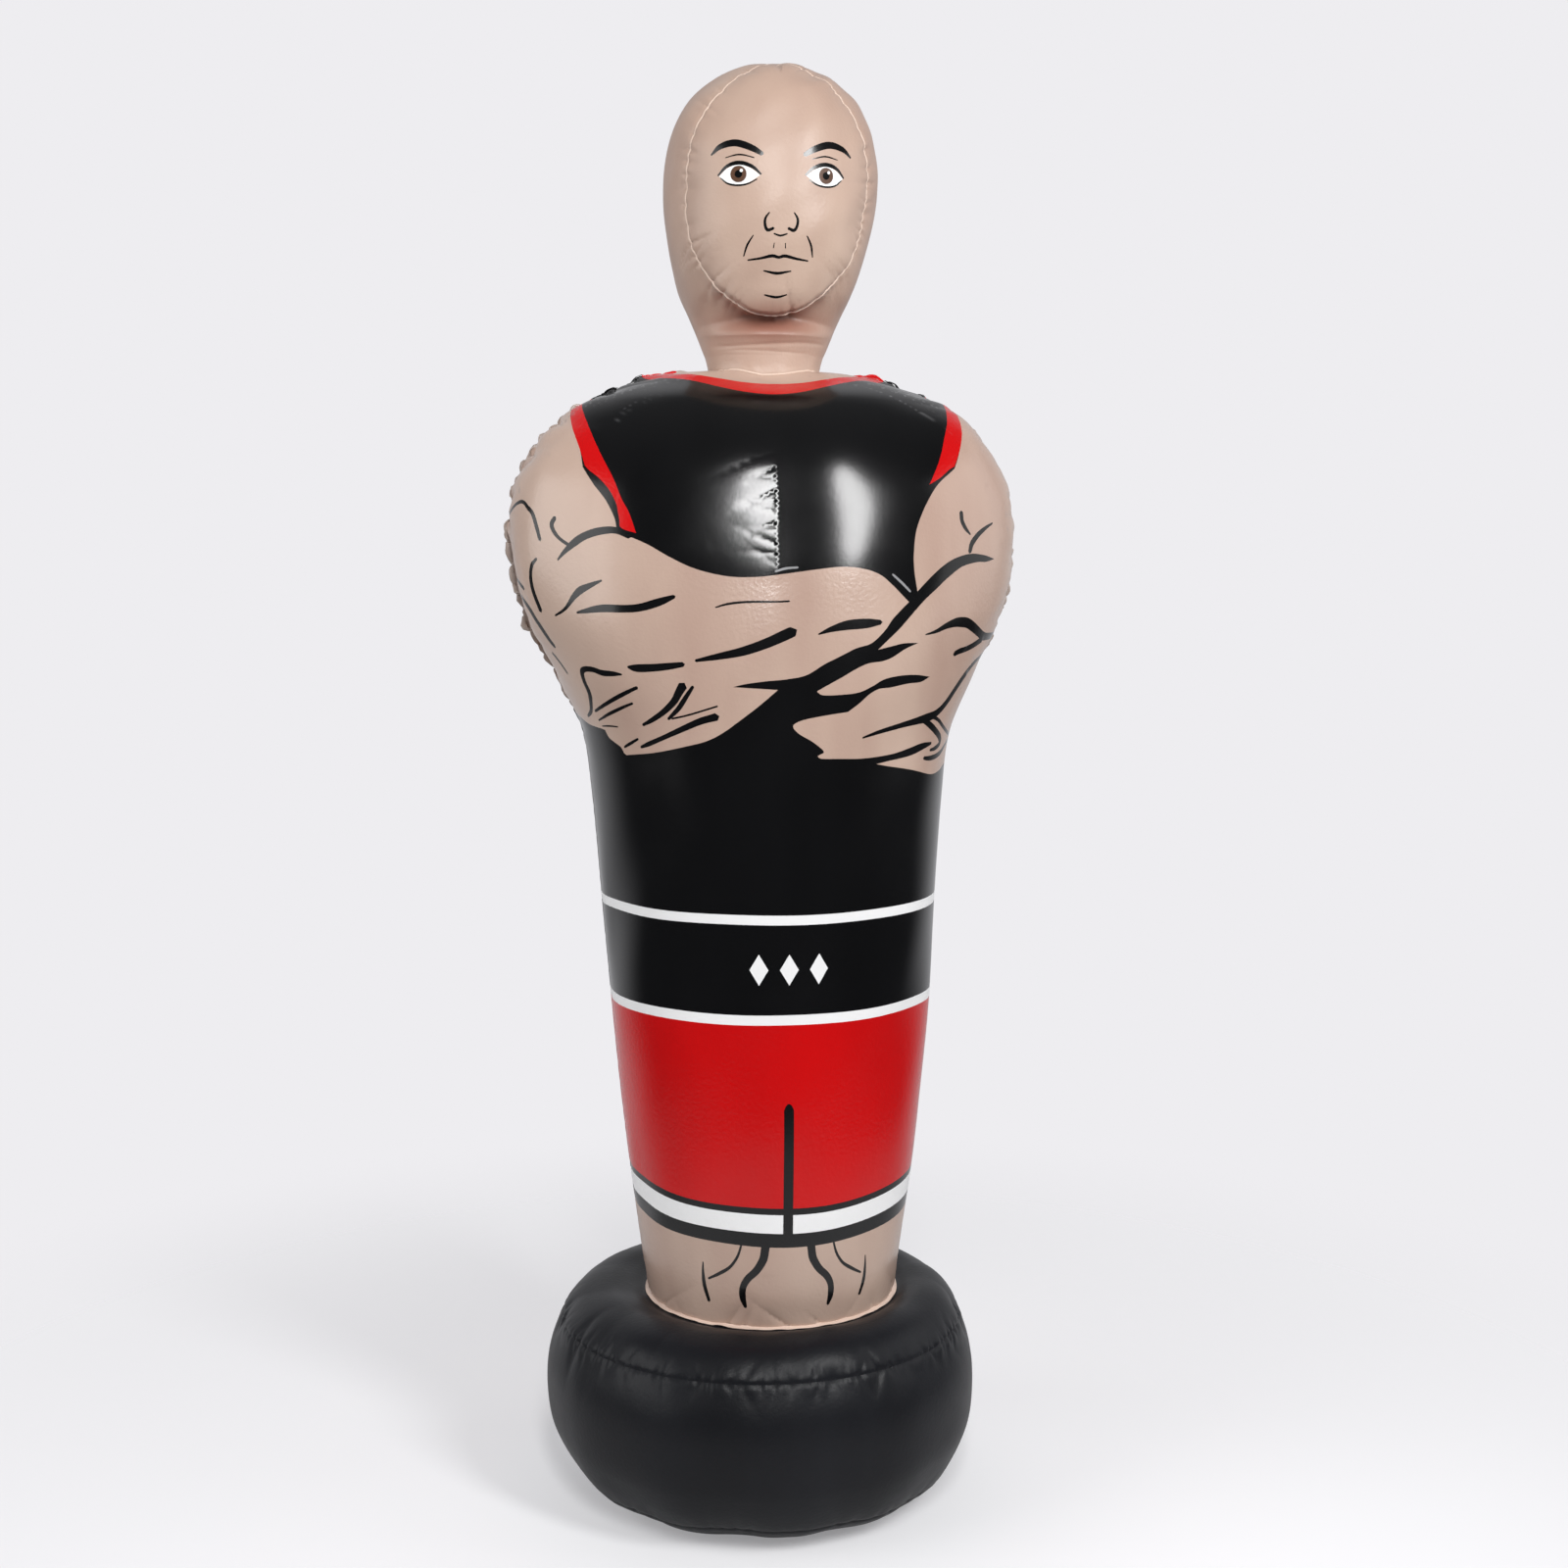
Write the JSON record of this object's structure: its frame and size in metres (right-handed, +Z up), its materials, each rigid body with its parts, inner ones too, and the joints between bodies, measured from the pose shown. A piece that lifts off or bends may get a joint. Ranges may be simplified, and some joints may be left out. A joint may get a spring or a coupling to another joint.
{
  "type": "inflatable standing punching dummy",
  "caption": "Free-standing inflatable punching dummy: a water-weighted round vinyl base carries an air-filled printed figure that bends at its foot and neck.",
  "frame": {"origin": "middle of the flat patch the base stands on, at floor level", "axes": "+Z up; the figure faces -Y; +X is to the right when the figure is seen from its front"},
  "size_m": [0.57, 0.4955, 1.6],
  "materials": {
    "base_vinyl": "satin black vinyl film",
    "printed_vinyl": "satin printed vinyl film",
    "skin_vinyl": "satin skin-coloured vinyl film",
    "water": "clear water",
    "valve_plastic": "moulded black plastic",
    "valve_rubber": "soft grey rubber",
    "clear_vinyl": "soft translucent vinyl"
  },
  "bodies": {
    "base": {"base_bottom_panel": "base_vinyl", "base_side_band": "base_vinyl", "ballast_water": "water", "filler_seat": "valve_plastic"},
    "base_top": {"base_top_panel": "base_vinyl"},
    "column": {"body_bottom_disc": "skin_vinyl", "body_front_panel": "printed_vinyl", "body_back_panel": "printed_vinyl", "valve_flange": "clear_vinyl"},
    "neck": {"neck_sleeve": "skin_vinyl"},
    "head": {"head_face_panel": "skin_vinyl", "head_gusset": "skin_vinyl", "head_back_panel": "skin_vinyl"},
    "filler_seal": {"filler_insert_gasket": "valve_rubber"},
    "filler_insert": {"filler_insert": "valve_plastic"},
    "filler_flap": {"filler_flap": "valve_rubber"},
    "filler_cap_seal": {"filler_cap_gasket": "valve_rubber"},
    "filler_cap": {"filler_cap": "valve_plastic"},
    "valve_stem": {"valve_stem": "clear_vinyl"},
    "valve_stopper": {"valve_stopper": "clear_vinyl"},
    "valve_flap": {"valve_flap": "clear_vinyl"}
  },
  "joints": [
    {"name": "sway_fore_aft", "type": "hinge", "parent": "base", "child": "base_top", "pos_m": [0, 0, 0.231], "axis": [1, 0, 0], "range_deg": [-12, 12], "stiffness_Nm_per_rad": 110, "deforming": ["base_top_panel"]},
    {"name": "sway_side", "type": "hinge", "parent": "base_top", "child": "column", "pos_m": [0, 0, 0.231], "axis": [0, 1, 0], "range_deg": [-12, 12], "stiffness_Nm_per_rad": 110},
    {"name": "head_nod", "type": "hinge", "parent": "column", "child": "neck", "pos_m": [0, 0, 1.286], "axis": [1, 0, 0], "range_deg": [-18, 18], "stiffness_Nm_per_rad": 14, "deforming": ["neck_sleeve"]},
    {"name": "head_tilt", "type": "hinge", "parent": "neck", "child": "head", "pos_m": [0, 0, 1.286], "axis": [0, 1, 0], "range_deg": [-15, 15], "stiffness_Nm_per_rad": 14},
    {"name": "filler_insert_turn", "type": "hinge", "parent": "filler_seal", "child": "filler_insert", "pos_m": [0, 0.2426, 0.168], "axis": [0, 0.9744, 0.225], "range_deg": [0, 720]},
    {"name": "filler_insert_lift", "type": "slide", "parent": "base", "child": "filler_seal", "axis": [0, 0.9744, 0.225], "range_m": [0, 0.006]},
    {"name": "filler_flap_swing", "type": "hinge", "parent": "filler_insert", "child": "filler_flap", "pos_m": [0, 0.21365, 0.1725], "axis": [-1, 0, 0], "range_deg": [0, 45], "stiffness_Nm_per_rad": 0.01},
    {"name": "filler_cap_turn", "type": "hinge", "parent": "filler_cap_seal", "child": "filler_cap", "pos_m": [0, 0.2426, 0.168], "axis": [0, 0.9744, 0.225], "range_deg": [0, 480]},
    {"name": "filler_cap_lift", "type": "slide", "parent": "filler_insert", "child": "filler_cap_seal", "axis": [0, 0.9744, 0.225], "range_m": [0, 0.004]},
    {"name": "valve_stem_pull", "type": "slide", "parent": "column", "child": "valve_stem", "axis": [0, 0.9936, -0.1132], "range_m": [0, 0.01]},
    {"name": "valve_stopper_swing", "type": "hinge", "parent": "valve_stem", "child": "valve_stopper", "pos_m": [0, 0.15903, 0.34108], "axis": [1, 0, 0], "range_deg": [0, 165]},
    {"name": "valve_flap_swing", "type": "hinge", "parent": "valve_stem", "child": "valve_flap", "pos_m": [0, 0.14077, 0.33712], "axis": [-1, 0, 0], "range_deg": [0, 60], "stiffness_Nm_per_rad": 0.01}
  ],
  "couplings": [
    {"joint": "filler_insert_lift", "follows": "filler_insert_turn", "m_per_rad": 0.00047746},
    {"joint": "filler_cap_lift", "follows": "filler_cap_turn", "m_per_rad": 0.00047746}
  ]
}
